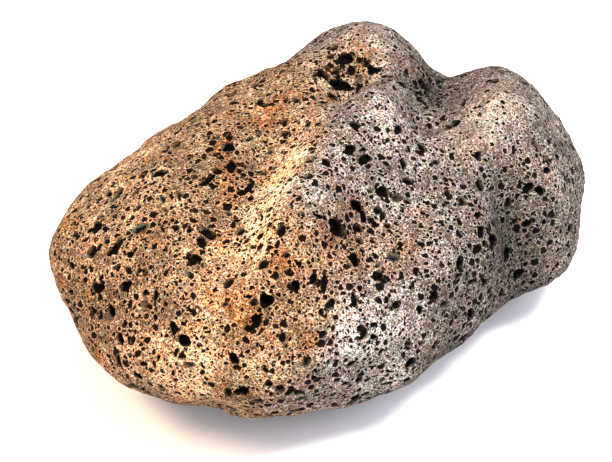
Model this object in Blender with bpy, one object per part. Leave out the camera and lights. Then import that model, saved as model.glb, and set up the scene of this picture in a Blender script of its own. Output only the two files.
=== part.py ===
"""Pumice stone: one light, bubble-filled piece of volcanic rock, 111 mm long, lying on its flattest side.

The stone is worked in millimetres in three steps. A squared-off egg is meshed as a net of small
triangles, the lumps and hollows of RELIEF and a gentle all-over rumple push its skin in and out,
and the vesicles, the burst gas bubbles that pit the skin, are cut out of it.
"""
import math
import random

import bmesh
import bpy
import numpy as np
from mathutils import Matrix, Vector
from mathutils.bvhtree import BVHTree

MM = 0.001

# The squared-off egg, in millimetres. A squareness of 2 is an ellipse, and more is boxier.
BODY_SIZE = np.array((111.0, 74.0, 46.0))
BODY_MIDDLE = np.array((0.6, 0.9, 21.8))
PLAN_SQUARENESS = 2.8
SIDE_SQUARENESS = 2.3
NET_SPACING = 5.0  # one square of the net
FOOT_SNAP = 0.4  # net points this near the resting plane are drawn onto it

# Lumps and hollows: middle, reach (along, across, up), turn in degrees about Z, push outwards (mm)
RELIEF = {
    "saddle": ((31, -2, 41), (19, 6, 14), 35, -7.0),
    "notch": ((50, 12, 32), (12, 11, 16), 0, -8.5),
    "far rim": ((43, -4, 36), (7, 6, 10), 0, 1.5),
    "top peak": ((27, 17, 42), (15, 9, 14), 45, 3.0),
    "middle knob": ((9, -6, 45), (8, 6, 10), 45, 4.0),
    "knob step": ((17, -10, 45), (4, 8, 10), 40, -3.5),
    "right knob": ((31, -18, 41), (12, 8, 12), 20, 3.2),
    "crest": ((-16, -11, 45), (26, 5.5, 12), 28, 5.0),
    "valley": ((-18, 0, 45), (22, 7, 14), 32, -5.0),
    "trough": ((-6, -24, 42), (12, 5, 10), 10, -3.0),
    "crest end hollow": ((-37, -22, 37), (5, 4, 6), 20, -3.0),
    "front shoulder": ((4, -32, 37), (8, 7, 12), 0, 1.5),
    "side valley": ((17, -36, 29), (6, 12, 16), 0, -4.5),
    "side lump": ((29, -36, 25), (8, 12, 14), 0, 1.0),
    "low front bulge": ((34, -32, 9), (14, 16, 14), 0, 4.6),
    "front foot": ((4, -36, 10), (26, 14, 12), 0, 1.2),
    "right corner": ((50, -19, 30), (10, 13, 14), 0, -3.2),
    "left corner": ((-50, 25, 31), (10, 14, 10), 0, 1.8),
    "left end": ((-55, 18, 18), (8, 12, 8), 0, -2.0),
    "near end": ((-55, 4, 14), (8, 8, 8), 0, 1.5),
    "near corner": ((-50, -22, 12), (16, 16, 16), 0, -3.2),
    "back slope": ((-16, 34, 35), (24, 16, 16), 0, -1.2),
    "back dip": ((14, 30, 38), (9, 9, 12), 0, -2.0),
    "crown cavity": ((12, 6, 46), (7, 5, 8), 30, -4.0),
}

# The rumple is a sum of plane waves, each of a shorter span than the one before (mm)
RUMPLE_WAVES = 16
RUMPLE_LONGEST = 24.0
RUMPLE_SHORTEST = 8.0
RUMPLE_STEEPNESS = 0.009  # height of a wave over its span
RUMPLE_SEED = 5

# The vesicles that stand out: a point near the skin, length, width (mm), turn of the length from +X
NAMED_VESICLES = (
    # the crown and its cavity
    ((16.5, 10, 43.5), 2.5, 2.3, 0),
    ((11.5, 12, 43), 2.3, 2.0, 30),
    ((19.5, 12.5, 44.5), 3.0, 1.8, -45),
    ((19.5, 5.5, 44), 2.5, 1.8, 10),
    ((13, 6.5, 42), 3.4, 2.8, -45),
    ((-0.5, -7, 47.5), 2.5, 2.3, 0),
    ((-5, -10.5, 46.5), 2.7, 2.0, 0),
    ((20, -13, 39.5), 3.4, 2.7, -45),
    # the left slope and the valley beside the crest
    ((-3.5, 14.5, 41.5), 2.9, 2.1, 90),
    ((-4.5, 7, 41.5), 2.4, 1.7, 0),
    ((-22, -1, 39.5), 4.8, 1.4, 24),
    ((-26, 5, 42), 4.0, 1.6, 0),
    ((-20.5, 5, 41), 4.2, 1.9, 45),
    ((-30, 14, 41), 3.8, 1.9, -30),
    ((-44.5, 14.5, 36), 3.4, 2.0, 45),
    ((-48.5, 11.5, 35), 2.6, 2.4, 0),
    ((-46.5, 7.5, 36.5), 3.3, 1.6, -15),
    # the near end
    ((-49, 1.5, 33.5), 2.9, 2.0, -30),
    ((-49.5, -3.5, 33), 2.5, 2.1, -30),
    ((-52.5, 2, 29.5), 2.6, 1.7, 45),
    ((-49.5, -11, 32.5), 2.8, 1.6, 45),
    ((-39, -21.5, 34.5), 3.4, 2.1, 30),
    ((-36, -20.5, 36), 2.8, 2.5, 0),
    # the front side, from the near end to the far end
    ((-31.5, -23, 38), 2.7, 1.6, 60),
    ((-27.5, -26, 38), 3.8, 1.1, 45),
    ((-24, -30, 35), 2.8, 1.5, 60),
    ((-25.5, -33.5, 31), 2.5, 1.9, 0),
    ((-18.5, -20.5, 42), 4.5, 3.7, -45),
    ((-17.5, -29.5, 36), 2.3, 2.0, 0),
    ((-11.5, -18.5, 41.5), 3.5, 2.3, -45),
    ((-5.5, -19, 41.5), 2.7, 2.1, -60),
    ((-9.5, -36, 29.5), 2.3, 2.1, 0),
    ((-2, -35, 32.5), 2.7, 1.9, 30),
    ((8.5, -34.5, 31), 3.4, 2.2, -20),
    ((15.5, -33, 22.5), 2.8, 2.2, 0),
    ((16.5, -35, 17.5), 3.2, 2.1, 0),
    ((18, -30, 31), 2.5, 1.7, 45),
    ((22.5, -31, 33), 2.8, 1.8, 0),
)

# The others, spread over the whole skin by a rule (mm)
VESICLE_SEED = 11
LARGE_TRIES = 48
LARGE_WIDTHS = (1.9, 2.9)
SMALL_TRIES = 90
SMALL_WIDTHS = (1.4, 2.0)
WALL_BETWEEN = 0.5  # stone left between two vesicles
FOOT_MARGIN = 3.0  # no spread vesicle is centred lower than this, so the resting face stays whole
BUBBLE_DEPTH = 1.15  # depth of a bubble over its width
BUBBLE_SINK = 0.16  # how far a bubble's middle lies under the skin, over its width
BUBBLE_ROUGHNESS = 0.1  # how unevenly a bubble is rounded
ROUNDER_FROM = 3.1  # a bubble at least this long has more faces

PUMICE_COLOUR = (0.33, 0.24, 0.18, 1.0)
PUMICE_ROUGHNESS = 0.95


def clear_scene():
    for old in list(bpy.data.objects):
        bpy.data.objects.remove(old, do_unlink=True)


def egg_point(directions):
    """Where rays from the middle in these directions leave the squared-off egg."""
    half = BODY_SIZE / 2
    reach = np.abs(directions) / half
    plan = (reach[:, 0] ** PLAN_SQUARENESS + reach[:, 1] ** PLAN_SQUARENESS) ** (1 / PLAN_SQUARENESS)
    distance = (plan ** SIDE_SQUARENESS + reach[:, 2] ** SIDE_SQUARENESS) ** (-1 / SIDE_SQUARENESS)
    return BODY_MIDDLE + directions * distance[:, None]


def egg_normal(points):
    """Outward normals of the squared-off egg at points on it."""
    half = BODY_SIZE / 2
    offset = points - BODY_MIDDLE
    reach = np.abs(offset) / half
    plan = reach[:, 0] ** PLAN_SQUARENESS + reach[:, 1] ** PLAN_SQUARENESS
    plan_weight = np.maximum(plan, 1e-12) ** (SIDE_SQUARENESS / PLAN_SQUARENESS - 1)
    slope = np.empty_like(points)
    slope[:, 0] = plan_weight * reach[:, 0] ** (PLAN_SQUARENESS - 1) / half[0]
    slope[:, 1] = plan_weight * reach[:, 1] ** (PLAN_SQUARENESS - 1) / half[1]
    slope[:, 2] = reach[:, 2] ** (SIDE_SQUARENESS - 1) / half[2]
    slope *= np.sign(offset)
    return slope / np.linalg.norm(slope, axis=1, keepdims=True)


def relief_height(points):
    """How far the lumps and hollows push the skin outwards at these points."""
    height = np.zeros(len(points))
    for middle, reach, turn, push in RELIEF.values():
        offset = points - np.array(middle)
        cosine = math.cos(math.radians(turn))
        sine = math.sin(math.radians(turn))
        along = (offset[:, 0] * cosine + offset[:, 1] * sine) / reach[0]
        across = (offset[:, 1] * cosine - offset[:, 0] * sine) / reach[1]
        up = offset[:, 2] / reach[2]
        height += push * np.exp(-along ** 2 - across ** 2 - up ** 2)
    return height


def rumple_height(points):
    """Low swells that run in all directions through the stone."""
    rng = random.Random(RUMPLE_SEED)
    height = np.zeros(len(points))
    for wave in range(RUMPLE_WAVES):
        span = RUMPLE_LONGEST * (RUMPLE_SHORTEST / RUMPLE_LONGEST) ** (wave / (RUMPLE_WAVES - 1))
        heading = np.array([rng.gauss(0, 1) for _ in range(3)])
        heading /= np.linalg.norm(heading)
        start = rng.uniform(0, 2 * math.pi)
        height += RUMPLE_STEEPNESS * span * np.sin(2 * math.pi * points @ heading / span + start)
    return height


def skin_point(directions):
    """The stone's skin, before the vesicles are cut, along directions from the middle."""
    points = egg_point(directions)
    height = relief_height(points) + rumple_height(points)
    return points + egg_normal(points) * height[:, None]


def box_net(counts):
    """A closed box from -1 to 1, each side a grid whose squares come out alike on the stone."""
    net = bmesh.new()
    for axis in range(3):
        first = (axis + 1) % 3
        second = (axis + 2) % 3
        for side in (-1, 1):
            placing = Matrix.Identity(4)
            for column, direction in enumerate((first, second, axis)):
                for row in range(3):
                    placing[row][column] = 1.0 if row == direction else 0.0
            placing[axis][3] = side
            bmesh.ops.create_grid(net, x_segments=counts[first], y_segments=counts[second],
                                  size=1.0, matrix=placing)
    bmesh.ops.remove_doubles(net, verts=net.verts, dist=1e-5)
    bmesh.ops.recalc_face_normals(net, faces=net.faces)
    return net


def build_body():
    """The stone without its vesicles, with a worn flat foot at z = 0."""
    counts = [round(size / NET_SPACING) for size in BODY_SIZE]
    body = box_net(counts)
    corners = np.array([vert.co[:] for vert in body.verts])
    directions = np.tan(corners * math.pi / 4) * BODY_SIZE / 2
    directions /= np.linalg.norm(directions, axis=1, keepdims=True)
    for vert, point in zip(body.verts, skin_point(directions)):
        vert.co = Vector(point) * MM
        if abs(vert.co.z) < FOOT_SNAP * MM:
            vert.co.z = 0.0
    bmesh.ops.triangulate(body, faces=body.faces)
    everything = body.verts[:] + body.edges[:] + body.faces[:]
    bmesh.ops.bisect_plane(body, geom=everything, dist=1e-7, plane_co=(0, 0, 0),
                           plane_no=(0, 0, -1), clear_outer=True)
    rim = [edge for edge in body.edges if edge.is_boundary]
    bmesh.ops.holes_fill(body, edges=rim, sides=0)
    bmesh.ops.recalc_face_normals(body, faces=body.faces)
    return body


def spread_directions(count, rng):
    """Directions spread evenly round the stone's middle, each nudged a little."""
    golden_turn = math.pi * (3 - math.sqrt(5))
    for index in range(count):
        height = 1 - (2 * index + 1) / count
        ring = math.sqrt(1 - height * height)
        angle = index * golden_turn
        nudge = Vector([rng.uniform(-1, 1) for _ in range(3)]) / math.sqrt(count)
        direction = Vector((ring * math.cos(angle), ring * math.sin(angle), height)) + nudge
        yield Vector(direction[axis] * BODY_SIZE[axis] for axis in range(3)).normalized()


def clear_of_others(place, reach, vesicles):
    for other_place, _, length, width, _ in vesicles:
        if (place - other_place).length < reach + (length + width) / 4 + WALL_BETWEEN:
            return False
    return True


def vesicle_list(skin):
    """Every vesicle as (place, normal, length, width, turn), lengths in millimetres."""
    vesicles = []
    for near, length, width, turn in NAMED_VESICLES:
        place, normal, _, _ = skin.find_nearest(Vector(near) * MM)
        vesicles.append((place / MM, normal, length, width, turn))
    rng = random.Random(VESICLE_SEED)
    middle = Vector(BODY_MIDDLE) * MM
    for tries, widths in ((LARGE_TRIES, LARGE_WIDTHS), (SMALL_TRIES, SMALL_WIDTHS)):
        for direction in spread_directions(tries, rng):
            width = widths[0] + (widths[1] - widths[0]) * rng.random() ** 2
            length = width * rng.uniform(1.0, 1.6)
            turn = rng.uniform(0, 180)
            place, normal, _, _ = skin.ray_cast(middle, direction)
            place = place / MM
            if place.z > FOOT_MARGIN and clear_of_others(place, (length + width) / 4, vesicles):
                vesicles.append((place, normal, length, width, turn))
    return vesicles


def add_bubble(cutter, vesicle, rng):
    place, normal, length, width, turn = vesicle
    lean = Vector((0, 0, 1)).rotation_difference(normal).to_matrix().to_4x4()
    spin = Matrix.Rotation(math.radians(turn), 4, "Z")
    size = Matrix.Diagonal((length / 2, width / 2, width * BUBBLE_DEPTH / 2, 1))
    middle = place - normal * width * BUBBLE_SINK
    placing = Matrix.Translation(middle * MM) @ lean @ spin @ size @ Matrix.Scale(MM, 4)
    detail = 2 if length >= ROUNDER_FROM else 1
    bubble = bmesh.ops.create_icosphere(cutter, subdivisions=detail, radius=1.0)
    for vert in bubble["verts"]:
        swell = 1 + rng.uniform(-BUBBLE_ROUGHNESS, BUBBLE_ROUGHNESS)
        vert.co = placing @ (vert.co * swell)


def new_object(name, shape):
    mesh = bpy.data.meshes.new(name)
    shape.to_mesh(mesh)
    shape.free()
    made = bpy.data.objects.new(name, mesh)
    bpy.context.scene.collection.objects.link(made)
    return made


def pumice_material():
    material = bpy.data.materials.new("porous pumice, weathered")
    material.use_nodes = True
    shader = material.node_tree.nodes["Principled BSDF"]
    shader.inputs["Base Color"].default_value = PUMICE_COLOUR
    shader.inputs["Roughness"].default_value = PUMICE_ROUGHNESS
    shader.inputs["Metallic"].default_value = 0.0
    return material


def build_stone():
    body = build_body()
    skin = BVHTree.FromBMesh(body)
    vesicles = vesicle_list(skin)
    stone = new_object("pumice_stone", body)
    stone.data.materials.append(pumice_material())
    cutter_shape = bmesh.new()
    rng = random.Random(VESICLE_SEED)
    for vesicle in vesicles:
        add_bubble(cutter_shape, vesicle, rng)
    cutter = new_object("vesicle_bubbles", cutter_shape)
    cutter.hide_render = True
    cutter.display_type = "WIRE"
    cut = stone.modifiers.new("vesicles", "BOOLEAN")
    cut.operation = "DIFFERENCE"
    cut.solver = "EXACT"
    cut.object = cutter
    return stone


clear_scene()
build_stone()
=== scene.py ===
import math
import random
from functools import partial

import bmesh
import bpy
import numpy as np
from mathutils import Matrix, Vector
from mathutils.bvhtree import BVHTree


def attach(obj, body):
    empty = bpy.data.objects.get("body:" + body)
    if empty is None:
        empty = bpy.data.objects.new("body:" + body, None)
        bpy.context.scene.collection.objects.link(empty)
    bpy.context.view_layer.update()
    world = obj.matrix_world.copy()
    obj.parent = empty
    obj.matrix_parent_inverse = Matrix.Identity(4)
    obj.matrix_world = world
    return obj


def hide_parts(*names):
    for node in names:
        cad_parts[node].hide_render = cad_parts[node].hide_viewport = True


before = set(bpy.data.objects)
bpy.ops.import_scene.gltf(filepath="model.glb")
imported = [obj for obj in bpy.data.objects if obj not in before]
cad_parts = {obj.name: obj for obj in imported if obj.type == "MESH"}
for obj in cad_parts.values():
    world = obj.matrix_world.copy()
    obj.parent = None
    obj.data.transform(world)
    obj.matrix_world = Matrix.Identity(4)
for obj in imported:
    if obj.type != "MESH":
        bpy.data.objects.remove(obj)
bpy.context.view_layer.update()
mm = 0.001

# The squared-off egg that the stone is worked from, in millimetres
eggForm = {
    "size": (111.0, 74.0, 46.0),
    "middle": (0.6, 0.9, 21.8),
    "planSquareness": 2.8,  # 2 is an ellipse, more is boxier
    "sideSquareness": 2.3,
    "netSpacing": 1.3,
}
weldGap = 1e-5  # corners of the net that lie closer than this are one

# Lumps and hollows: middle, reach (along, across, up), turn in degrees about Z, push outwards
relief = {
    "saddle": ((31, -2, 41), (19, 6, 14), 35, -6.3),
    "notch": ((50, 12, 32), (12, 11, 16), 0, -8.5),
    "farRim": ((43, -4, 36), (7, 6, 10), 0, 0.7),
    "topPeak": ((27, 17, 42), (15, 9, 14), 45, 3.0),
    "middleKnob": ((9, -6, 45), (8, 6, 10), 45, 4.0),
    "knobStep": ((17, -10, 45), (4, 8, 10), 40, -3.5),
    "rightKnob": ((31, -18, 41), (12, 8, 12), 20, 3.2),
    "crest": ((-16, -11, 45), (26, 6.5, 12), 28, 3.4),
    "valley": ((-18, 0, 45), (22, 7.5, 14), 32, -2.8),
    "trough": ((-6, -24, 42), (12, 5, 10), 10, -3.0),
    "crestEndHollow": ((-37, -22, 37), (5, 4, 6), 20, -3.0),
    "frontShoulder": ((4, -32, 37), (8, 7, 12), 0, 1.5),
    "sideValley": ((17, -36, 29), (6, 12, 16), 0, -4.5),
    "sideLump": ((29, -36, 25), (8, 12, 14), 0, 1.0),
    "lowFrontBulge": ((34, -32, 9), (14, 16, 14), 0, 4.6),
    "frontFoot": ((4, -36, 10), (26, 14, 12), 0, 1.2),
    "rightCorner": ((50, -19, 30), (10, 13, 14), 0, -2.2),
    "leftCorner": ((-50, 25, 31), (10, 14, 10), 0, 1.8),
    "leftEnd": ((-55, 18, 18), (8, 12, 8), 0, -2.0),
    "nearEnd": ((-55, 4, 14), (8, 8, 8), 0, 1.5),
    "nearCorner": ((-50, -22, 12), (16, 16, 16), 0, -3.2),
    "backSlope": ((-16, 34, 35), (24, 16, 16), 0, -2.1),
    "backDip": ((14, 30, 38), (9, 9, 12), 0, -2.0),
    "crownCavity": ((12, 6, 46), (7, 5, 8), 30, -4.0),
}

# Smaller ledges and dips, in the same way
ledges = {
    "cavityRecess": ((14, 9, 43), (6.5, 4.5, 6), 30, -3.8),
    "kneeRidge": ((7, -3, 47), (10, 2.2, 6), 10, 1.1),
    "kneeGroove": ((20, -4, 40), (11, 2.4, 6), 53, -1.9),
    "knobDent": ((20.5, -12.5, 39), (2.6, 1.8, 3), -45, -1.8),
    "frontDip": ((-12, -20, 40.5), (5, 3.5, 4), 20, -1.3),
    "sideGully": ((17, -30, 30), (2.2, 5, 9), 0, -1.6),
    "crestShelf": ((-28, -19, 40), (8, 1.8, 4), 28, 0.9),
    "leftShelf": ((-46, 10, 35), (2.4, 9, 4), -15, 0.9),
    "lowShelf": ((-46, -22, 22), (7, 5, 2.2), 0, 0.9),
    "rightShelf": ((28, -38, 22), (8, 5, 2.0), 0, 0.9),
    "backShelf": ((8, 36, 24), (14, 6, 2.2), 0, 0.9),
    "farShelf": ((54, 6, 26), (5, 12, 2.2), 0, 0.9),
    "frontSkirt": ((-14, -36, 16), (9, 8, 9), 0, 1.7),
    "sideSkirt": ((20, -37, 15), (15, 8, 9), 0, 1.6),
    "nearSkirt": ((-53, -8, 18), (8, 9, 9), 0, 1.3),
}

# Low swells through the stone, each of a shorter span than the one before
rumple = {"waves": 16, "longest": 24.0, "shortest": 8.0, "steepness": 0.009, "seed": 5}

# Weathering on top of the form: worn bumps between the vesicles, broad ones and small ones,
# which fade out down to the ground over the foot clearance
weathering = {"broadSpan": 8.0, "broadHeight": 1.5, "smallSpan": 2.7, "smallHeight": 0.95,
              "footClearance": 2.5, "detail": 2.0, "roughness": 0.55}

# How the surface changes from place to place: middle, reach, turn, then how much more open
# the froth is there, how much paler (partly the stone's own tone, partly painted light and
# shade) and how much warmer in colour
usualOpenness = 0.55
surfaceZones = {
    # paler along the crest: partly its own tone, partly a painted highlight on the lit flank
    "crest": ((-17, -6, 44), (15, 4, 10), 28, -0.2, 1.5, 0.1),
    "crestEnd": ((-35, -12, 38), (9, 5, 10), 28, -0.2, 0.6, 0.1),
    "rightKnob": ((25, -18, 43), (11, 7, 12), 20, -0.95, 0.75, 0.3),
    "middleKnob": ((8, -6, 46), (9, 7, 8), 20, -0.3, 0.3, -0.2),
    "topPeak": ((25, 13, 45), (9, 6, 8), 30, -0.75, 0.35, 0.1),
    "leftFace": ((-38, 12, 40), (14, 12, 12), 0, 0.1, 0.1, -0.3),
    "nearEnd": ((-50, 0, 30), (9, 10, 9), 0, 0.1, -0.2, -0.3),
    "nearEndLow": ((-50, -16, 25), (8, 8, 8), 0, -0.25, 1.0, 0.05),
    "lowCorner": ((-40, -27, 29), (7, 7, 7), 0, 0.0, 0.0, 0.3),
    # paler on the front face: partly its own tone, partly painted light on the lit face
    "frontFace": ((-24, -35, 27), (8, 8, 9), 0, 0.1, 1.35, -0.2),
    "trough": ((-20, -22, 41), (9, 5, 7), 10, 0.15, -0.2, 0.2),
    "frontBrow": ((-11, -29, 36), (9, 6, 6), 0, 0.15, 0.4, 0.25),
    "kneeFoot": ((-2, -15, 43), (8, 6, 6), 20, 0.2, 0.2, -0.2),
    "cavity": ((14, 9, 43), (9, 6.5, 9), 30, 0.7, 0.0, 0.2),
    "valley": ((-22, 3, 41), (13, 7, 10), 32, 0.3, -0.2, 0.4),
    # darker in the side valley: partly its own tone and pores, partly painted shade
    "sideValley": ((15, -33, 25), (8, 8, 13), 0, 0.45, -1.8, 0.1),
    "rightFace": ((26, -34, 31), (8, 6, 7), 0, 0.15, 0.3, 0.1),
    "lowRight": ((2, -37, 22), (13, 6, 12), 0, 0.45, -0.1, 0.0),
    # darker low on the front: painted shade under the overhang
    "shadedFrontUnder": ((5, -39, 10), (22, 9, 5), 0, 0.1, -1.4, 0.0),
    # darker in the saddle and the groove beside the knob: partly painted shade
    "saddle": ((33, -1, 35), (13, 7, 8), 35, 0.3, -1.3, 0.25),
    "kneeShade": ((27, 0, 38), (5, 4, 5), 45, 0.35, -1.2, 0.1),
    "farCorner": ((44, -26, 20), (10, 10, 14), 0, 0.3, -0.3, 0.1),
    "backDip": ((10, 34, 32), (16, 8, 12), 0, 0.3, -0.3, 0.1),
    "farEnd": ((54, 8, 22), (6, 16, 14), 0, 0.1, 0.3, 0.2),
    "backFoot": ((-20, 38, 12), (22, 6, 10), 0, -0.2, 0.3, 0.0),
    # darker near the ground all round: painted shade under the stone
    "shadedUnderside": ((0, 0, 0), (90, 90, 5), 0, -0.1, -1.0, 0.0),
}


def eggPoint(directions):
    half = np.array(eggForm["size"]) / 2
    reach = np.abs(directions) / half
    planPower = eggForm["planSquareness"]
    sidePower = eggForm["sideSquareness"]
    plan = (reach[:, 0] ** planPower + reach[:, 1] ** planPower) ** (1 / planPower)
    distance = (plan ** sidePower + reach[:, 2] ** sidePower) ** (-1 / sidePower)
    return np.array(eggForm["middle"]) + directions * distance[:, None]


def eggNormal(points):
    half = np.array(eggForm["size"]) / 2
    offset = points - np.array(eggForm["middle"])
    reach = np.abs(offset) / half
    planPower = eggForm["planSquareness"]
    sidePower = eggForm["sideSquareness"]
    plan = reach[:, 0] ** planPower + reach[:, 1] ** planPower
    planWeight = np.maximum(plan, 1e-12) ** (sidePower / planPower - 1)
    slope = np.empty_like(points)
    slope[:, 0] = planWeight * reach[:, 0] ** (planPower - 1) / half[0]
    slope[:, 1] = planWeight * reach[:, 1] ** (planPower - 1) / half[1]
    slope[:, 2] = reach[:, 2] ** (sidePower - 1) / half[2]
    slope *= np.sign(offset)
    return slope / np.linalg.norm(slope, axis=1, keepdims=True)


# How strongly points lie inside a lens-shaped zone, 1 at its middle
def zoneShare(points, middle, reach, turn):
    offset = points - np.array(middle)
    cosine = math.cos(math.radians(turn))
    sine = math.sin(math.radians(turn))
    along = (offset[:, 0] * cosine + offset[:, 1] * sine) / reach[0]
    across = (offset[:, 1] * cosine - offset[:, 0] * sine) / reach[1]
    up = offset[:, 2] / reach[2]
    return np.exp(-along ** 2 - across ** 2 - up ** 2)


def zoneSum(points, change):
    total = np.zeros(len(points))
    for middle, reach, turn, *changes in surfaceZones.values():
        total += changes[change] * zoneShare(points, middle, reach, turn)
    return total


def reliefHeight(points):
    height = np.zeros(len(points))
    for middle, reach, turn, push in (*relief.values(), *ledges.values()):
        height += push * zoneShare(points, middle, reach, turn)
    return height


def rumpleHeight(points):
    rng = random.Random(rumple["seed"])
    height = np.zeros(len(points))
    shrink = rumple["shortest"] / rumple["longest"]
    for wave in range(rumple["waves"]):
        span = rumple["longest"] * shrink ** (wave / (rumple["waves"] - 1))
        heading = np.array([rng.gauss(0, 1) for _ in range(3)])
        heading /= np.linalg.norm(heading)
        start = rng.uniform(0, 2 * math.pi)
        height += rumple["steepness"] * span * np.sin(2 * math.pi * points @ heading / span + start)
    return height


def skinPoint(directions):
    points = eggPoint(directions)
    height = reliefHeight(points) + rumpleHeight(points)
    return points + eggNormal(points) * height[:, None]


# Where each side of the net lies on the export map, in millimetres of a 240 mm square sheet:
# (axis, side): corner. The two long sides are 46 mm high and the ends 74 mm wide.
sheetSize = 240.0
sheetPlaces = {
    (2, 1): (0, 0),
    (2, -1): (0, 74),
    (1, -1): (0, 148),
    (1, 1): (0, 194),
    (0, -1): (111, 0),
    (0, 1): (111, 46),
}
# What is left of the sheet takes a small square for each bubble's inside
listedCells = {"corner": (185, 0), "size": (55, 92), "columns": 11}
scatteredCells = {"corner": (111, 92), "size": (129, 148), "columns": 54}


# A closed box from -1 to 1 in six grids, each with its place on the export map
def boxNet(counts):
    net = bmesh.new()
    mapLayer = net.loops.layers.uv.new("OFBake")
    size = eggForm["size"]
    for (axis, side), corner in sheetPlaces.items():
        first, second = sorted({0, 1, 2} - {axis})
        placing = Matrix.Identity(4)
        for column, direction in enumerate((first, second, axis)):
            for row in range(3):
                placing[row][column] = 1.0 if row == direction else 0.0
        placing[axis][3] = side
        made = bmesh.ops.create_grid(net, x_segments=counts[first], y_segments=counts[second],
                                     size=1.0, matrix=placing)
        faces = {face for vert in made["verts"] for face in vert.link_faces}
        for face in faces:
            for loop in face.loops:
                place = loop.vert.co
                loop[mapLayer].uv = (
                    (corner[0] + (place[first] + 1) / 2 * size[first]) / sheetSize,
                    (corner[1] + (place[second] + 1) / 2 * size[second]) / sheetSize,
                )
    bmesh.ops.remove_doubles(net, verts=net.verts, dist=weldGap)
    bmesh.ops.recalc_face_normals(net, faces=net.faces)
    return net


def buildSkin():
    size = np.array(eggForm["size"])
    counts = [round(length / eggForm["netSpacing"]) for length in size]
    skin = boxNet(counts)
    corners = np.array([vert.co[:] for vert in skin.verts])
    # the tangent evens out the net's spacing over the egg
    directions = np.tan(corners * math.pi / 4) * size / 2
    directions /= np.linalg.norm(directions, axis=1, keepdims=True)
    for vert, point in zip(skin.verts, skinPoint(directions)):
        vert.co = Vector(point) * mm
    everything = skin.verts[:] + skin.edges[:] + skin.faces[:]
    bmesh.ops.bisect_plane(skin, geom=everything, dist=weldGap, plane_co=(0, 0, 0),
                           plane_no=(0, 0, -1), clear_outer=True)
    rim = [edge for edge in skin.edges if edge.is_boundary]
    bmesh.ops.holes_fill(skin, edges=rim, sides=0)
    bmesh.ops.triangulate(skin, faces=skin.faces)
    bmesh.ops.recalc_face_normals(skin, faces=skin.faces)
    return skin


# The vesicles that stand out: a point near the skin, length, width, turn of the length from +X
namedVesicles = (
    # the crown and its cavity
    ((18.5, 13.5, 43), 3.6, 2.8, -45),
    ((15.5, 13, 42), 2.3, 1.7, 45),
    ((17.5, 11, 42), 2.6, 1.9, 45),
    ((19.5, 6.5, 43), 3.2, 2.2, -45),
    ((12.5, 13.5, 42), 3.0, 2.3, -45),
    ((14, 10.5, 40.5), 4.8, 2.6, -45),
    ((10.5, 8.5, 40.5), 3.2, 2.2, -30),
    ((17, 8.5, 41), 2.6, 1.9, 0),
    ((20, 9.5, 43), 2.3, 1.9, -45),
    ((-0.5, -7, 47.5), 2.5, 2.3, 0),
    ((-5, -10.5, 46.5), 2.7, 2.0, 0),
    ((20, -13, 39.5), 4.6, 3.4, -45),
    ((27, 1, 38.5), 3.0, 2.2, 45),
    ((23.5, -4, 39), 2.4, 1.8, 45),
    # the left slope and the valley beside the crest
    ((-3.5, 14.5, 41.5), 2.9, 2.1, 90),
    ((-4.5, 7, 41.5), 2.4, 1.7, 0),
    ((-22, -1, 39.5), 4.8, 1.4, 24),
    ((-26, 5, 42), 4.0, 1.6, 0),
    ((-20.5, 5, 41), 4.2, 1.9, 45),
    ((-30, 14, 41), 3.8, 1.9, -30),
    ((-44.5, 14.5, 36), 3.4, 2.0, 45),
    ((-48.5, 11.5, 35), 2.6, 2.4, 0),
    ((-46.5, 7.5, 36.5), 3.3, 1.6, -15),
    # the near end
    ((-49, 1.5, 33.5), 2.9, 2.0, -30),
    ((-49.5, -3.5, 33), 2.5, 2.1, -30),
    ((-52.5, 2, 29.5), 2.6, 1.7, 45),
    ((-49.5, -11, 32.5), 2.8, 1.6, 45),
    ((-39, -21.5, 34.5), 3.4, 2.1, 30),
    ((-36, -20.5, 36), 2.8, 2.5, 0),
    # the front side, from the near end to the far end
    ((-31.5, -23, 38), 2.7, 1.6, 60),
    ((-27.5, -26, 38), 3.8, 1.1, 45),
    ((-24, -30, 35), 2.8, 1.5, 60),
    ((-25.5, -33.5, 31), 2.5, 1.9, 0),
    ((-18.5, -20.5, 42), 4.5, 3.7, -45),
    ((-17.5, -29.5, 36), 2.3, 2.0, 0),
    ((-11.5, -18.5, 41.5), 3.5, 2.3, -45),
    ((-5.5, -19, 41.5), 2.7, 2.1, -60),
    ((-9.5, -36, 29.5), 2.3, 2.1, 0),
    ((-2, -35, 32.5), 2.7, 1.9, 30),
    ((8.5, -34.5, 31), 3.4, 2.2, -20),
    ((15.5, -33, 22.5), 2.8, 2.2, 0),
    ((16.5, -35, 17.5), 3.2, 2.1, 0),
    ((18, -30, 31), 2.5, 1.7, 45),
    ((22.5, -31, 33), 2.8, 1.8, 0),
)

# The larger ones that a rule spreads over the skin, in the order in which they are placed
spreadRule = {
    "seed": 11,
    "grades": ((48, 1.9, 2.9), (90, 1.4, 2.0)),  # tries, narrowest, widest
    "wallBetween": 0.5,
    "footMargin": 3.0,
}


def spreadDirections(count, rng):
    goldenTurn = math.pi * (3 - math.sqrt(5))
    for index in range(count):
        height = 1 - (2 * index + 1) / count
        ring = math.sqrt(1 - height * height)
        angle = index * goldenTurn
        nudge = Vector([rng.uniform(-1, 1) for _ in range(3)]) / math.sqrt(count)
        direction = Vector((ring * math.cos(angle), ring * math.sin(angle), height)) + nudge
        yield Vector(direction[axis] * eggForm["size"][axis] for axis in range(3)).normalized()


def clearOfOthers(place, reach, vesicles):
    for otherPlace, _, length, width, _ in vesicles:
        if (place - otherPlace).length < reach + (length + width) / 4 + spreadRule["wallBetween"]:
            return False
    return True


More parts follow.
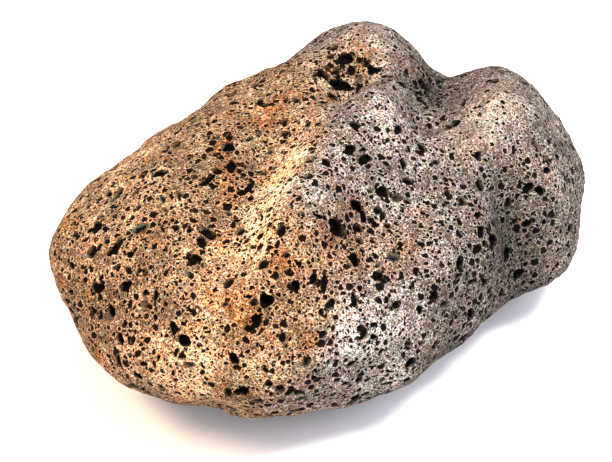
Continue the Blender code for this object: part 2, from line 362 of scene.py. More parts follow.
# Every listed vesicle as (place, normal, length, width, turn), lengths in millimetres
def listVesicles(skin):
    vesicles = []
    for near, length, width, turn in namedVesicles:
        place, normal, _, _ = skin.find_nearest(Vector(near) * mm)
        vesicles.append((place / mm, normal, length, width, turn))
    rng = random.Random(spreadRule["seed"])
    middle = Vector(eggForm["middle"]) * mm
    for tries, narrowest, widest in spreadRule["grades"]:
        for direction in spreadDirections(tries, rng):
            width = narrowest + (widest - narrowest) * rng.random() ** 2
            length = width * rng.uniform(1.0, 1.6)
            turn = rng.uniform(0, 180)
            place, normal, _, _ = skin.ray_cast(middle, direction)
            place = place / mm
            reach = (length + width) / 4
            if place.z > spreadRule["footMargin"] and clearOfOthers(place, reach, vesicles):
                vesicles.append((place, normal, length, width, turn))
    return vesicles


def meshObject(name, mesh):
    made = bpy.data.objects.new(name, mesh)
    bpy.context.scene.collection.objects.link(made)
    return made


# What each site says of its bubble, and what a bubble knows of its place on the export map
siteFacts = {"siteNormal": "FLOAT_VECTOR", "siteLength": "FLOAT", "siteWidth": "FLOAT",
             "siteTurn": "FLOAT"}
mapFacts = {"discPlace": "FLOAT_VECTOR", "cellCorner": "FLOAT_VECTOR"}


# A cloud of points that carries what the node tree needs to blow a bubble at each
def siteCloud(vesicles):
    places, normals, lengths, widths, turns = zip(*vesicles)
    mesh = bpy.data.meshes.new("vesicleSites")
    mesh.from_pydata([place * mm for place in places], [], [])
    columns = (
        [normal[:] for normal in normals],
        [length * mm for length in lengths],
        [width * mm for width in widths],
        [math.radians(turn) for turn in turns],
    )
    for (name, kind), numbers in zip(siteFacts.items(), columns):
        layer = mesh.attributes.new(name, kind, "POINT")
        field = "vector" if kind == "FLOAT_VECTOR" else "value"
        layer.data.foreach_set(field, np.array(numbers, dtype=np.float32).ravel())
    return meshObject("vesicleSites", mesh)


# Adds one node: its inputs are numbers, sockets or nodes (whose first output is linked)
def addNode(tree, kind, inputs=None, **settings):
    node = tree.nodes.new(kind)
    for name, value in settings.items():
        setattr(node, name, value)
    for key, value in (inputs or {}).items():
        socket = node.inputs[key]
        if isinstance(value, bpy.types.NodeSocket):
            tree.links.new(value, socket)
        elif isinstance(value, bpy.types.Node):
            tree.links.new(value.outputs[0], socket)
        else:
            socket.default_value = value
    return node


def newTree(name, inputs, outputs):
    tree = bpy.data.node_groups.new(name, "GeometryNodeTree")
    for side, sockets in (("INPUT", inputs), ("OUTPUT", outputs)):
        for label, kind in sockets.items():
            tree.interface.new_socket(name=label, in_out=side, socket_type="NodeSocket" + kind)
    start = tree.nodes.new("NodeGroupInput")
    end = tree.nodes.new("NodeGroupOutput")
    return tree, partial(addNode, tree), start.outputs, end.inputs


# A bubble's depth, how far its middle sinks under the skin and how uneven its wall is, as parts
# of its width. A listed one longer than roundFrom (mm) sinks fully and is made from a finer
# ball; the others sink by anything between the least and the full amount.
bubbleForm = {"depth": 1.15, "sink": 0.16, "sinkLeast": -0.3, "unevenness": 0.55,
              "crumpleSpan": 1.1, "seed": 7, "roundFrom": 2.6, "finerBall": 3, "coarserBall": 2}
arcReach = 0.999  # keeps the arccosine inside its range


# Blows a bubble at each site and maps its inside to a square of its own on the export map
def bubbleTree():
    tree, add, given, result = newTree(
        "blowBubbles",
        {"Sites": "Geometry", "Subdivisions": "Int", "Depth": "Float", "Sink": "Float",
         "Sink Least": "Float", "Unevenness": "Float", "Sheet Corner": "Vector",
         "Cell Size": "Vector", "Columns": "Int", "First Cell": "Int"},
        {"Bubbles": "Geometry"})
    known = {}
    for name, kind in {**siteFacts, **mapFacts}.items():
        known[name] = add("GeometryNodeInputNamedAttribute", {"Name": name}, data_type=kind)
    normal = known["siteNormal"]
    width = known["siteWidth"]
    ball = add("GeometryNodeMeshIcoSphere", {"Radius": 1.0, "Subdivisions": given["Subdivisions"]})

    # the inside of the ball opened out flat, from its lowest point, into a disc 1 across
    place = add("GeometryNodeInputPosition")
    parts = add("ShaderNodeSeparateXYZ", {0: place})
    drop = add("ShaderNodeMath", {0: parts.outputs["Z"], 1: -arcReach}, operation="MULTIPLY")
    fromFloor = add("ShaderNodeMath", {0: drop}, operation="ARCCOSINE")
    out = add("ShaderNodeMath", {0: fromFloor, 1: 2 * math.pi}, operation="DIVIDE")
    flat = add("ShaderNodeVectorMath", {0: place, 1: (1, 1, 0)}, operation="MULTIPLY")
    heading = add("ShaderNodeVectorMath", {0: flat}, operation="NORMALIZE")
    spoke = add("ShaderNodeVectorMath", {0: heading, "Scale": out}, operation="SCALE")
    disc = add("ShaderNodeVectorMath", {0: spoke, 1: (0.5, 0.5, 0)}, operation="ADD")
    ball = add("GeometryNodeStoreNamedAttribute",
               {"Geometry": ball, "Name": "discPlace", "Value": disc},
               data_type="FLOAT_VECTOR", domain="POINT")

    # a ball on each site, turned, stretched and sunk
    lean = add("FunctionNodeAlignRotationToVector", {"Vector": normal}, axis="Z")
    spin = add("FunctionNodeAxisAngleToRotation", {"Axis": (0, 0, 1), "Angle": known["siteTurn"]})
    facing = add("FunctionNodeRotateRotation", {"Rotation": lean, "Rotate By": spin},
                 rotation_space="LOCAL")
    depth = add("ShaderNodeMath", {0: width, 1: given["Depth"]}, operation="MULTIPLY")
    across = add("ShaderNodeCombineXYZ", {"X": known["siteLength"], "Y": width, "Z": depth})
    size = add("ShaderNodeVectorMath", {0: across, "Scale": 0.5}, operation="SCALE")
    lift = add("FunctionNodeRandomValue",
               {2: given["Sink Least"], 3: given["Sink"], "Seed": bubbleForm["seed"]},
               data_type="FLOAT")
    sink = add("ShaderNodeMath", {0: width, 1: lift.outputs[1]}, operation="MULTIPLY")
    under = add("ShaderNodeMath", {0: sink, 1: -1.0}, operation="MULTIPLY")
    shift = add("ShaderNodeVectorMath", {0: normal, "Scale": under}, operation="SCALE")
    sunk = add("GeometryNodeSetPosition", {"Geometry": given["Sites"], "Offset": shift})
    placed = add("GeometryNodeInstanceOnPoints",
                 {"Points": sunk, "Instance": ball, "Rotation": facing, "Scale": size})

    # the corner of each ball's own square, row by row
    number = add("GeometryNodeInputIndex")
    cell = add("FunctionNodeIntegerMath", {0: number, 1: given["First Cell"]}, operation="ADD")
    column, row = (add("FunctionNodeIntegerMath", {0: cell, 1: given["Columns"]},
                       operation=operation) for operation in ("MODULO", "DIVIDE_FLOOR"))
    step = add("ShaderNodeCombineXYZ", {"X": column, "Y": row})
    away = add("ShaderNodeVectorMath", {0: step, 1: given["Cell Size"]}, operation="MULTIPLY")
    cellCorner = add("ShaderNodeVectorMath", {0: away, 1: given["Sheet Corner"]}, operation="ADD")
    placed = add("GeometryNodeStoreNamedAttribute",
                 {"Geometry": placed, "Name": "cellCorner", "Value": cellCorner},
                 data_type="FLOAT_VECTOR", domain="INSTANCE")
    real = add("GeometryNodeRealizeInstances", {"Geometry": placed})

    # uneven walls
    crumple = add("ShaderNodeTexNoise",
                  {"Vector": place, "Scale": 1 / (bubbleForm["crumpleSpan"] * mm), "Detail": 1.0},
                  noise_dimensions="3D")
    swing = add("ShaderNodeVectorMath", {0: crumple.outputs["Color"], 1: (0.5, 0.5, 0.5)},
                operation="SUBTRACT")
    give = add("ShaderNodeMath", {0: width, 1: given["Unevenness"]}, operation="MULTIPLY")
    nudge = add("ShaderNodeVectorMath", {0: swing, "Scale": give}, operation="SCALE")
    real = add("GeometryNodeSetPosition", {"Geometry": real, "Offset": nudge})

    inCell = add("ShaderNodeVectorMath", {0: known["discPlace"], 1: given["Cell Size"]},
                 operation="MULTIPLY")
    onMap = add("ShaderNodeVectorMath", {0: inCell, 1: known["cellCorner"]}, operation="ADD")
    real = add("GeometryNodeStoreNamedAttribute",
               {"Geometry": real, "Name": "OFBake", "Value": onMap},
               data_type="FLOAT2", domain="CORNER")
    tree.links.new(real.outputs[0], result["Bubbles"])
    return tree


# Grades of small vesicles, in millimetres; density is sites to a square millimetre of fully
# open froth
scatteredGrades = {
    "Medium": {"narrowest": 0.95, "widest": 2.1, "stretch": 1.8, "spacing": 1.7,
               "density": 0.125, "seed": 21, "subdivisions": 2},
    "Small": {"narrowest": 0.6, "widest": 0.95, "stretch": 1.6, "spacing": 1.2,
              "density": 0.09, "seed": 22, "subdivisions": 1},
}
# How much rarer wide ones are, and what is added to a grade's seed for its other draws
scatterRule = {"rarity": 2.5, "stretchSeed": 100, "turnSeed": 200}


# Sites for one grade of small vesicles, closer together where the stone is more open
def scatterTree():
    tree, add, given, result = newTree(
        "scatterSites",
        {"Skin": "Geometry", "Narrowest": "Float", "Widest": "Float", "Stretch": "Float",
         "Spacing": "Float", "Density": "Float", "Seed": "Int"},
        {"Sites": "Geometry"})
    share = add("GeometryNodeInputNamedAttribute", {"Name": "openness"}, data_type="FLOAT")
    spread = add("GeometryNodeDistributePointsOnFaces",
                 {"Mesh": given["Skin"], "Distance Min": given["Spacing"],
                  "Density Max": given["Density"], "Density Factor": share, "Seed": given["Seed"]},
                 distribute_method="POISSON")
    stretchSeed, turnSeed = (
        add("FunctionNodeIntegerMath", {0: given["Seed"], 1: scatterRule[name]}, operation="ADD")
        for name in ("stretchSeed", "turnSeed"))
    draws = ((0.0, 1.0, given["Seed"]), (1.0, given["Stretch"], stretchSeed),
             (0.0, math.pi, turnSeed))
    chance, stretch, turn = (
        add("FunctionNodeRandomValue", {2: least, 3: most, "Seed": seed}, data_type="FLOAT")
        for least, most, seed in draws)
    rare = add("ShaderNodeMath", {0: chance.outputs[1], 1: scatterRule["rarity"]},
               operation="POWER")
    width = add("ShaderNodeMapRange",
                {"Value": rare, "To Min": given["Narrowest"], "To Max": given["Widest"]})
    length = add("ShaderNodeMath", {0: width, 1: stretch.outputs[1]}, operation="MULTIPLY")
    sites = spread
    values = (spread.outputs["Normal"], length, width, turn.outputs[1])
    for (name, kind), value in zip(siteFacts.items(), values):
        sites = add("GeometryNodeStoreNamedAttribute",
                    {"Geometry": sites, "Name": name, "Value": value},
                    data_type=kind, domain="POINT")
    tree.links.new(sites.outputs[0], result["Sites"])
    return tree


rimAngle = 38  # degrees; an edge sharper than this stays crisp
chipCorners = 1000  # a loose bit of mesh with fewer corners than this is a chip
leastWidth = 0.1  # mm; stands in for the width of a cell where there is none


# The whole stone: wears the skin, then cuts the listed vesicles and each smaller grade
def stoneTree(material):
    inputs = {"Stone": "Geometry", "Listed Sites": "Object", "Foot Clearance": "Float",
              "Round From": "Float"}
    for size in ("Broad", "Small"):
        inputs[size + " Wear Span"] = "Float"
        inputs[size + " Wear Height"] = "Float"
    for grade in scatteredGrades:
        for size in ("Narrowest", "Widest", "Stretch", "Spacing", "Density"):
            inputs[grade + " " + size] = "Float"
        inputs[grade + " Seed"] = "Int"
    tree, add, given, result = newTree("openVesicles", inputs, {"Stone": "Geometry"})
    bubbles = bubbleTree()
    scatter = scatterTree()
    known = {}
    for name in ("siteLength", "siteWidth", "openness", "paleness", "warmth"):
        known[name] = add("GeometryNodeInputNamedAttribute", {"Name": name}, data_type="FLOAT")

    place = add("GeometryNodeInputPosition")
    outward = add("GeometryNodeInputNormal")
    height = add("ShaderNodeSeparateXYZ", {0: place})
    offFoot = add("ShaderNodeMapRange",
                  {"Value": height.outputs["Z"], "From Max": given["Foot Clearance"]})
    lift = 0.0
    for size in ("Broad", "Small"):
        scale = add("ShaderNodeMath", {0: 1.0, 1: given[size + " Wear Span"]}, operation="DIVIDE")
        lumps = add("ShaderNodeTexNoise",
                    {"Vector": place, "Scale": scale, "Detail": weathering["detail"],
                     "Roughness": weathering["roughness"]}, noise_dimensions="3D")
        swing = add("ShaderNodeMath", {0: lumps, 1: 0.5}, operation="SUBTRACT")
        lift = add("ShaderNodeMath", {0: swing, 1: given[size + " Wear Height"], 2: lift},
                   operation="MULTIPLY_ADD")
    gentle = add("ShaderNodeMath", {0: lift, 1: offFoot}, operation="MULTIPLY")
    shift = add("ShaderNodeVectorMath", {0: outward, "Scale": gentle}, operation="SCALE")
    worn = add("GeometryNodeSetPosition", {"Geometry": given["Stone"], "Offset": shift})

    listed = add("GeometryNodeObjectInfo", {"Object": given["Listed Sites"]},
                 transform_space="ORIGINAL")
    big = add("ShaderNodeMath", {0: known["siteLength"], 1: given["Round From"]},
              operation="GREATER_THAN")
    split = add("GeometryNodeSeparateGeometry",
                {"Geometry": listed.outputs["Geometry"], "Selection": big}, domain="POINT")
    bigCount = add("GeometryNodeAttributeDomainSize", {"Geometry": split.outputs[0]},
                   component="MESH")
    batches = [
        (split.outputs["Selection"], bubbleForm["finerBall"], listedCells, 0,
         bubbleForm["sink"]),
        (split.outputs["Inverted"], bubbleForm["coarserBall"], listedCells, bigCount,
         bubbleForm["sinkLeast"]),
    ]
    firstCell = 0
    for name, grade in scatteredGrades.items():
        sizes = {size: given[name + " " + size] for size in
                 ("Narrowest", "Widest", "Stretch", "Spacing", "Density", "Seed")}
        scattered = add("GeometryNodeGroup", {"Skin": worn, **sizes}, node_tree=scatter)
        batches.append((scattered.outputs["Sites"], grade["subdivisions"], scatteredCells,
                        firstCell, bubbleForm["sinkLeast"]))
        firstCell = add("GeometryNodeAttributeDomainSize", {"Geometry": scattered},
                        component="POINTCLOUD")

    cut = worn
    for sites, subdivisions, cells, firstCell, sinkLeast in batches:
        side = cells["size"][0] / cells["columns"] / sheetSize
        corner = (cells["corner"][0] / sheetSize, cells["corner"][1] / sheetSize, 0)
        blown = add("GeometryNodeGroup",
                    {"Sites": sites, "Subdivisions": subdivisions, "Depth": bubbleForm["depth"],
                     "Sink": bubbleForm["sink"], "Sink Least": sinkLeast,
                     "Unevenness": bubbleForm["unevenness"], "Sheet Corner": corner,
                     "Cell Size": (side, side, 0), "Columns": cells["columns"],
                     "First Cell": firstCell}, node_tree=bubbles)
        cut = add("GeometryNodeMeshBoolean", {"Mesh 1": cut, "Mesh 2": blown},
                  operation="DIFFERENCE", solver="MANIFOLD")

    # how deep each point lies in its cell, as a part of the cell's width
    toSkin = add("GeometryNodeProximity", {0: worn}, target_element="FACES")
    someWidth = add("ShaderNodeMath", {0: known["siteWidth"], 1: leastWidth * mm},
                    operation="MAXIMUM")
    sunken = add("ShaderNodeMath", {0: toSkin.outputs["Distance"], 1: someWidth},
                 operation="DIVIDE")
    facts = {"cellDepth": sunken}
    for name in ("openness", "paleness", "warmth"):
        facts[name] = add("GeometryNodeSampleNearestSurface", {"Mesh": worn, "Value": known[name]},
                          data_type="FLOAT")
    deep = cut
    for name, value in facts.items():
        deep = add("GeometryNodeStoreNamedAttribute",
                   {"Geometry": deep, "Name": name, "Value": value},
                   data_type="FLOAT", domain="POINT")

    # chips that crowded cells cut free have fallen off
    island = add("GeometryNodeInputMeshIsland")
    corners = add("GeometryNodeAccumulateField",
                  {"Value": 1, "Group ID": island.outputs["Island Index"]},
                  data_type="INT", domain="POINT")
    chip = add("ShaderNodeMath", {0: corners.outputs["Total"], 1: chipCorners},
               operation="LESS_THAN")
    whole = add("GeometryNodeDeleteGeometry", {"Geometry": deep, "Selection": chip}, domain="POINT")
    bend = add("GeometryNodeInputMeshEdgeAngle")
    crisp = add("ShaderNodeMath", {0: bend, 1: math.radians(rimAngle)}, operation="GREATER_THAN")
    smooth = add("GeometryNodeSetShadeSmooth", {"Geometry": whole})
    edged = add("GeometryNodeStoreNamedAttribute",
                {"Geometry": smooth, "Name": "sharp_edge", "Value": crisp},
                data_type="BOOLEAN", domain="EDGE")
    real = add("GeometryNodeRealizeInstances", {"Geometry": edged})
    done = add("GeometryNodeSetMaterial", {"Geometry": real, "Material": material})
    tree.links.new(done.outputs[0], result["Stone"])
    return tree


# Turns an sRGB hex colour to the linear values that sockets take
def hexColour(code):
    channels = [int(code[start:start + 2], 16) / 255 for start in (1, 3, 5)]
    linear = [c / 12.92 if c <= 0.04045 else ((c + 0.055) / 1.055) ** 2.4 for c in channels]
    return (*linear, 1.0)


# Pumice: frothed volcanic glass, torn open by weather. Dull and gritty, with pale broken
# walls, brown dust in the finest pores, rust and faint pink and green stains here and there,
# and dark insides to the cells and pores, which are partly dark glass and partly painted shade.
pumiceLook = {
    "tan": "#6b4429",
    "mauve": "#4e3c37",
    "umber": "#45322a",
    "olive": "#4a4535",
    "wall": "#d6b695",
    "wallCool": "#bfb7b2",
    "dust": "#28160c",
    "hollow": "#4a2b16",
    "hollowCool": "#3d332c",
    # near black: painted shade deep in the pores and cells, partly dark glass
    "cell": "#0b0807",
    "lining": "#5c4128",
    "liningCool": "#4a4038",
    "liningMoss": "#565a50",
    "liningChip": "#a89478",
    "rustCast": (1.12, 0.8, 0.5, 1),
    "warmCast": (1.26, 1.0, 0.7, 1),
    "coolCast": (0.78, 1.0, 1.24, 1),
    "pinkCast": (1.07, 0.96, 0.96, 1),
    "greenCast": (0.96, 1.03, 0.92, 1),
    "stainShare": 0.7,
    "slope": (0.0125, -0.0125, 0.0),  # how fast it cools along each axis, to a millimetre
    "warmthRust": 0.2,  # how much more readily a warm place rusts
    # the tone of the froth: a swing made of patterns, calmed where it is close, and lifted by the
    # paleness, which carries painted light and shade as well as the stone's own tone
    "swingFrom": -1.59,
    "swing": {"grit": 1.5, "mottle": 0.95, "blotch": 0.7},
    "calm": 0.3,
    "tone": 1.6,
    "toneLift": 0.24,
    "clustering": 2.2,  # how much the mottle opens and closes the froth
    "warp": 1.1,  # mm that the outlines of drawn pores are bent by
    # inside a cut cell, in widths of it: the raggedness of the dark, the depth the lining is from
    "cellEdgeGrit": 0.4,
    "liningFrom": 0.04,
    "bumps": {"mottle": 1.2, "grit": 0.3},
    "bumpHeight": 1.0,
}
pumiceShader = {"Roughness": 0.88, "IOR": 1.5, "Specular IOR Level": 0.05}
# Its patterns: span in millimetres, detail, roughness. Real grit is finer than 0.4 and is drawn
# as coarse as that to show.
pumicePatterns = {
    "grit": (0.4, 1.0, 0.7),
    "hue": (0.8, 3.0, 0.7),
    "warp": (1.3, 2.0, 0.5),
    "mottle": (2.6, 3.0, 0.6),
    "moss": (3.6, 2.0, 0.5),
    "blotch": (6.5, 2.0, 0.5),
    "patch": (8.0, 4.0, 0.6),
    "drift": (26.0, 2.0, 0.5),
}
# What drives each effect, where it starts and ends along that, and its amount at those two
pumiceRanges = {
    "toMauve": ("cooler", 0.22, 0.6, 0.0, 1.0),
    "toUmber": ("lean", 0.8, 1.0, 0.0, 1.0),
    "mossy": ("patch", 0.46, 0.34, 0.0, 0.8),
    "rusty": ("rustier", 0.53, 0.65, 0.0, 0.9),
    "rustShare": ("toMauve", 0.0, 1.0, 1.0, 0.3),
    "castShare": ("toMauve", 0.0, 1.0, 0.9, 0.45),
    "hueShare": ("hue", 0.35, 0.65, 0.0, 1.0),
    "stained": ("moss", 0.4, 0.6, 0.0, 1.0),
    "mossShare": ("moss", 0.48, 0.68, 0.0, 1.0),
    "cloud": ("blotch", 0.3, 0.7, 0.75, 1.08),
    # colour scaled by the paleness: painted light and shade along with the stone's own paler and
    # darker places
    "shade": ("paleness", -2.5, 1.0, 0.2, 1.12),
    "dustShare": ("openness", 0.1, 0.45, 0.3, 1.0),
    "darker": ("tone", 1.6, 1.38, 0.0, 1.0),
    "paler": ("tone", 1.66, 1.86, 0.0, 1.0),
    "inCell": ("ragged", 0.3, 0.52, 0.0, 1.0),
}
# Pores that are drawn rather than cut: the spacing of their middles in millimetres, and the rest
# as parts of it: least and greatest radius, edge and tooth; then how dark they get, a painted
# shade for the inside of a hole, and how pale their rims, partly pale glass and partly a painted
# highlight on the rim
drawnPores = {
    "finest": {"span": 0.45, "least": 0.2, "greatest": 0.6, "edge": 0.1, "tooth": 0.4,
               "darkest": 0.6, "rim": 0.25},
    "fine": {"span": 0.9, "least": 0.02, "greatest": 0.62, "edge": 0.05, "tooth": 0.4,
             "darkest": 1.0, "rim": 0.65},
    "coarse": {"span": 1.6, "least": -0.12, "greatest": 0.58, "edge": 0.03, "tooth": 0.38,
               "darkest": 1.0, "rim": 0.7},
}
# For all of them: how much open froth widens them, the wall left between two, how far in the
# shade is full and how many edges wide the rim is
poreRule = {"swell": 0.22, "wall": 0.05, "shadeReach": 0.17, "rimEdges": 4}


# Lays colours over one another in turn, each given as (share, colour)
def layOver(add, colour, *layers, blend="MIX"):
    for share, layer in layers:
        mixed = add("ShaderNodeMix", {0: share, 6: colour, 7: layer}, data_type="RGBA",
                    blend_type=blend)
        colour = mixed.outputs[2]
    return colour


# How far inside a ragged pore each point is (0 to 1), how far on its pale rim, and how far
# into its shade
def drawPores(add, place, openness, grit, grade):
    cells, walls = (
        add("ShaderNodeTexVoronoi", {"Vector": place, "Scale": 1 / grade["span"]}, feature=feature)
        for feature in ("F1", "DISTANCE_TO_EDGE"))
    chance = add("ShaderNodeSeparateXYZ", {0: cells.outputs["Color"]})
    radius = add("ShaderNodeMapRange",
                 {"Value": chance, "To Min": grade["least"], "To Max": grade["greatest"]})
    swell = add("ShaderNodeMath", {0: openness, 1: poreRule["swell"], 2: radius},
                operation="MULTIPLY_ADD")
    inward = add("ShaderNodeMath", {0: swell, 1: cells.outputs["Distance"]}, operation="SUBTRACT")
    offWall = add("ShaderNodeMath", {0: walls.outputs["Distance"], 1: poreRule["wall"]},
                  operation="SUBTRACT")
    inward = add("ShaderNodeMath", {0: inward, 1: offWall}, operation="MINIMUM")
    jagged = add("ShaderNodeMath", {0: grit, 1: grade["tooth"], 2: inward},
                 operation="MULTIPLY_ADD")
    inward = add("ShaderNodeMath", {0: jagged, 1: grade["tooth"] / 2}, operation="SUBTRACT")
    edge = grade["edge"]
    hole = add("ShaderNodeMapRange", {"Value": inward, "From Min": -edge, "From Max": edge})
    rim = add("ShaderNodeMapRange",
              {"Value": inward, "From Min": -edge * poreRule["rimEdges"], "From Max": -edge})
    shade = add("ShaderNodeMapRange",
                {"Value": inward, "From Max": poreRule["shadeReach"], "To Max": grade["darkest"]})
    return hole, rim, shade


def pumiceMaterial():
    look = {name: hexColour(value) if isinstance(value, str) else value
            for name, value in pumiceLook.items()}
    material = bpy.data.materials.new("weatheredPumice")
    material.use_nodes = True
    tree = material.node_tree
    add = partial(addNode, tree)
    shader = tree.nodes["Principled BSDF"]
    for name, value in pumiceShader.items():
        shader.inputs[name].default_value = value

    # patterns and what the surface carries
    coords = add("ShaderNodeTexCoord").outputs["Object"]
    place = add("ShaderNodeVectorMath", {0: coords, "Scale": 1 / mm}, operation="SCALE")
    part = {}
    for name, (span, detail, roughness) in pumicePatterns.items():
        part[name] = add("ShaderNodeTexNoise",
                         {"Vector": place, "Scale": 1 / span, "Detail": detail,
                          "Roughness": roughness})
    for name in ("openness", "paleness", "warmth", "cellDepth"):
        part[name] = add("ShaderNodeAttribute", attribute_name=name).outputs["Fac"]

    # what drives the effects, then the effects
    spot = add("ShaderNodeVectorMath", {0: place, 1: look["slope"]}, operation="DOT_PRODUCT")
    part["lean"] = add("ShaderNodeMath", {0: spot.outputs["Value"], 1: part["drift"]},
                       operation="ADD")
    part["cooler"] = add("ShaderNodeMath", {0: part["lean"], 1: part["warmth"]},
                         operation="SUBTRACT")
    part["rustier"] = add("ShaderNodeMath",
                          {0: part["warmth"], 1: look["warmthRust"], 2: part["patch"]},
                          operation="MULTIPLY_ADD")
    part["ragged"] = add("ShaderNodeMath",
                         {0: part["grit"], 1: look["cellEdgeGrit"], 2: part["cellDepth"]},
                         operation="MULTIPLY_ADD")
    swing = look["swingFrom"]
    for name, weight in look["swing"].items():
        swing = add("ShaderNodeMath", {0: part[name], 1: weight, 2: swing},
                    operation="MULTIPLY_ADD")
    calm = add("ShaderNodeMapRange",
               {"Value": part["openness"], "From Max": usualOpenness, "To Min": look["calm"]})
    tone = add("ShaderNodeMath", {0: swing, 1: calm, 2: look["tone"]}, operation="MULTIPLY_ADD")
    part["tone"] = add("ShaderNodeMath", {0: part["paleness"], 1: look["toneLift"], 2: tone},
                       operation="MULTIPLY_ADD")
    for name, (driver, *ends) in pumiceRanges.items():
        limits = dict(zip(("From Min", "From Max", "To Min", "To Max"), ends))
        part[name] = add("ShaderNodeMapRange", {"Value": part[driver], **limits})

    # warm at the near end, mauve grey at the front, umber at the far corner, with olive patches;
    # the warm near end and cool front are partly the stone's own colour and partly painted warm
    # and cool lamp light
    toMauve = part["toMauve"]
    base = layOver(add, look["tan"], (toMauve, look["mauve"]), (part["toUmber"], look["umber"]),
                   (part["mossy"], look["olive"]))
    wall = layOver(add, look["wall"], (toMauve, look["wallCool"]))
    # gritty froth, from stained glass to pale broken walls
    dusty = add("ShaderNodeMath", {0: part["darker"], 1: part["dustShare"]}, operation="MULTIPLY")
    colour = layOver(add, base, (dusty, look["dust"]), (part["paler"], wall))

    # pores with pale rims, in clusters, their outlines bent out of round; their dark middles are
    # painted shade inside the holes, and the rims partly pale glass, partly painted highlight
    clustered = add("ShaderNodeMath",
                    {0: part["mottle"], 1: look["clustering"], 2: part["openness"]},
                    operation="MULTIPLY_ADD")
    moreOpen = add("ShaderNodeMath", {0: clustered, 1: usualOpenness + look["clustering"] / 2},
                   operation="SUBTRACT")
    bent = add("ShaderNodeVectorMath", {0: part["warp"].outputs["Color"], "Scale": look["warp"]},
               operation="SCALE")
    bentPlace = add("ShaderNodeVectorMath", {0: place, 1: bent}, operation="ADD")
    hollow = layOver(add, look["hollow"], (toMauve, look["hollowCool"]))
    hollows = 0.0
    for grade in drawnPores.values():
        hole, rim, inShade = drawPores(add, bentPlace, moreOpen, part["grit"], grade)
        rimPaleAndHighlight = add("ShaderNodeMath", {0: rim, 1: grade["rim"]}, operation="MULTIPLY")
        inside = layOver(add, hollow, (inShade, look["cell"]))
        colour = layOver(add, colour, (rimPaleAndHighlight, wall), (hole, inside))
        hollows = add("ShaderNodeMath", {0: inShade, 1: -grade["span"], 2: hollows},
                      operation="MULTIPLY_ADD")

    # rust, warm and cool grains and faint stains, then lighter and darker places: random clouds,
    # and the paleness, which is partly the stone's own tone and partly painted light and shade
    rusted = add("ShaderNodeMath", {0: part["rusty"], 1: part["rustShare"]}, operation="MULTIPLY")
    cast = layOver(add, look["warmCast"], (part["hueShare"], look["coolCast"]))
    stain = layOver(add, look["pinkCast"], (part["stained"], look["greenCast"]))
    colour = layOver(add, colour, (rusted, look["rustCast"]), (part["castShare"], cast),
                     (look["stainShare"], stain), (1.0, part["shade"]), (1.0, part["cloud"]),
                     blend="MULTIPLY")

    # the insides of the cut cells, lined near the mouth and near black further in: partly dark
    # glass, partly painted shade deep in the cell
    lining = layOver(add, look["lining"], (toMauve, look["liningCool"]),
                     (part["mossShare"], look["liningMoss"]), (part["paler"], look["liningChip"]))
    onLining = add("ShaderNodeMath", {0: part["cellDepth"], 1: look["liningFrom"]},
                   operation="GREATER_THAN")
    colour = layOver(add, colour, (onLining, lining), (part["inCell"], look["cell"]))
    tree.links.new(colour, shader.inputs["Base Color"])

    rise = hollows
    for name, weight in look["bumps"].items():
        rise = add("ShaderNodeMath", {0: part[name], 1: weight, 2: rise}, operation="MULTIPLY_ADD")
    bump = add("ShaderNodeBump",
               {"Height": rise, "Distance": look["bumpHeight"] * mm, "Strength": 1.0})
    tree.links.new(bump.outputs[0], shader.inputs["Normal"])
    return material


def setInput(modifier, name, value):
    for item in modifier.node_group.interface.items_tree:
        if item.in_out == "INPUT" and item.name == name:
            modifier[item.identifier] = value


def buildStone():
    skinShape = buildSkin()
    vesicles = listVesicles(BVHTree.FromBMesh(skinShape))
    mesh = bpy.data.meshes.new("skin")
    skinShape.to_mesh(mesh)
    skinShape.free()
    points = np.array([vert.co[:] for vert in mesh.vertices]) / mm
    surface = {
        "openness": np.clip(usualOpenness + zoneSum(points, 0), 0, 1),
        "paleness": zoneSum(points, 1),
        "warmth": zoneSum(points, 2),
    }
    for name, numbers in surface.items():
        layer = mesh.attributes.new(name, "FLOAT", "POINT")
        layer.data.foreach_set("value", numbers.astype(np.float32))
    print("skin:", len(mesh.polygons), "faces,", len(vesicles), "listed vesicles")

    blank = meshObject("blank", mesh)
    sites = siteCloud(vesicles)
    opened = blank.modifiers.new("openVesicles", "NODES")
    opened.node_group = stoneTree(pumiceMaterial())
    setInput(opened, "Listed Sites", sites)
    for size in ("broad", "small"):
        for measure in ("Span", "Height"):
            setInput(opened, size.capitalize() + " Wear " + measure,
                     weathering[size + measure] * mm)
    setInput(opened, "Foot Clearance", weathering["footClearance"] * mm)
    setInput(opened, "Round From", bubbleForm["roundFrom"] * mm)
    for name, grade in scatteredGrades.items():
        for size in ("narrowest", "widest", "spacing"):
            setInput(opened, name + " " + size.capitalize(), grade[size] * mm)
        setInput(opened, name + " Stretch", grade["stretch"])
        setInput(opened, name + " Density", grade["density"] / mm ** 2)
        setInput(opened, name + " Seed", grade["seed"])
    evaluated = blank.evaluated_get(bpy.context.evaluated_depsgraph_get())
    finished = bpy.data.meshes.new_from_object(evaluated)
    finished.name = "pumiceStone"
    for name in (*siteFacts, *mapFacts, "id"):
        finished.attributes.remove(finished.attributes[name])
    stone = meshObject("pumiceStone", finished)
    bpy.data.objects.remove(blank, do_unlink=True)
    bpy.data.objects.remove(sites, do_unlink=True)
    return stone


stone = buildStone()
print("stone:", len(stone.data.polygons), "faces")
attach(stone, "root")
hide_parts("pumice_stone")

# A sheet of matt white card under the stone, which takes a soft shadow
cardLook = {"reach": 1.5, "colour": "#dadadc", "roughness": 0.8}


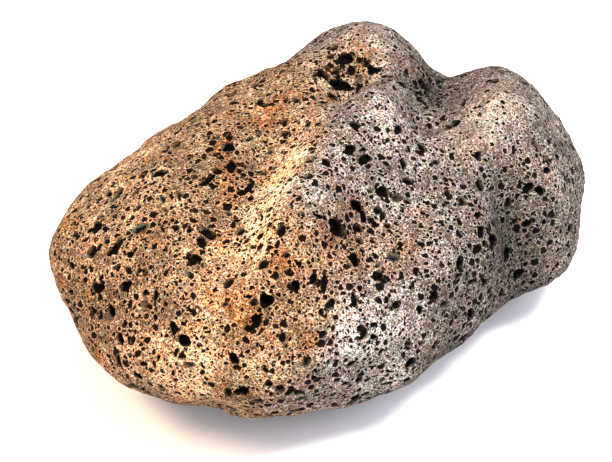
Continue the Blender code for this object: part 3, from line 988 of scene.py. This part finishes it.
def buildFloor():
    reach = cardLook["reach"]
    floorMesh = bpy.data.meshes.new("floorCard")
    corners = [(-reach, -reach, 0), (reach, -reach, 0), (reach, reach, 0), (-reach, reach, 0)]
    floorMesh.from_pydata(corners, [], [(0, 1, 2, 3)])
    floor = meshObject("floorCard", floorMesh)
    card = bpy.data.materials.new("whiteCard")
    card.use_nodes = True
    shader = card.node_tree.nodes["Principled BSDF"]
    shader.inputs["Base Color"].default_value = hexColour(cardLook["colour"])
    shader.inputs["Roughness"].default_value = cardLook["roughness"]
    floorMesh.materials.append(card)


# Softboxes: colour, watts, size in metres, where they stand as azimuth, elevation and distance
lamps = {
    "warmLeft": ("#ffd9b4", 4.6, 0.2, -115, 52, 0.6),
    "top": ("#fffcf6", 6.6, 0.18, 20, 68, 0.7),
    "right": ("#f0eeff", 1.8, 0.4, 25, 45, 0.6),
}
lampTarget = (0, 0, 0.02)
studio = {"colour": "#fafaff", "strength": 1.45}  # the even light all round


def standAt(azimuth, elevation, distance, target):
    a = math.radians(azimuth)
    e = math.radians(elevation)
    back = Vector((math.sin(a) * math.cos(e), -math.cos(a) * math.cos(e), math.sin(e)))
    place = Vector(target) + back * distance
    return place, (-back).to_track_quat("-Z", "Y").to_euler()


def buildLights():
    for name, (colour, watts, size, azimuth, elevation, distance) in lamps.items():
        lamp = bpy.data.lights.new(name, "AREA")
        lamp.shape = "DISK"
        lamp.size = size
        lamp.energy = watts
        lamp.color = hexColour(colour)[:3]
        holder = bpy.data.objects.new(name, lamp)
        holder.location, holder.rotation_euler = standAt(
            azimuth, elevation, distance, lampTarget)
        bpy.context.scene.collection.objects.link(holder)
    world = bpy.data.worlds.new("studio")
    world.use_nodes = True
    backdrop = world.node_tree.nodes["Background"]
    backdrop.inputs[0].default_value = hexColour(studio["colour"])
    backdrop.inputs[1].default_value = studio["strength"]
    bpy.context.scene.world = world


# Azimuth and elevation in degrees, distance and target in metres, lens in millimetres
view = {"azimuth": -45, "elevation": 41, "distance": 0.285, "lens": 85,
        "target": (-0.0047, 0.0014, 0.0191)}


def buildCamera():
    camera = bpy.data.cameras.new("camera")
    camera.lens = view["lens"]
    holder = bpy.data.objects.new("camera", camera)
    holder.location, holder.rotation_euler = standAt(
        view["azimuth"], view["elevation"], view["distance"], view["target"])
    bpy.context.scene.collection.objects.link(holder)
    bpy.context.scene.camera = holder
    bpy.context.scene.view_settings.view_transform = "Standard"


buildFloor()
buildLights()
buildCamera()
print("stage, lights and camera placed")
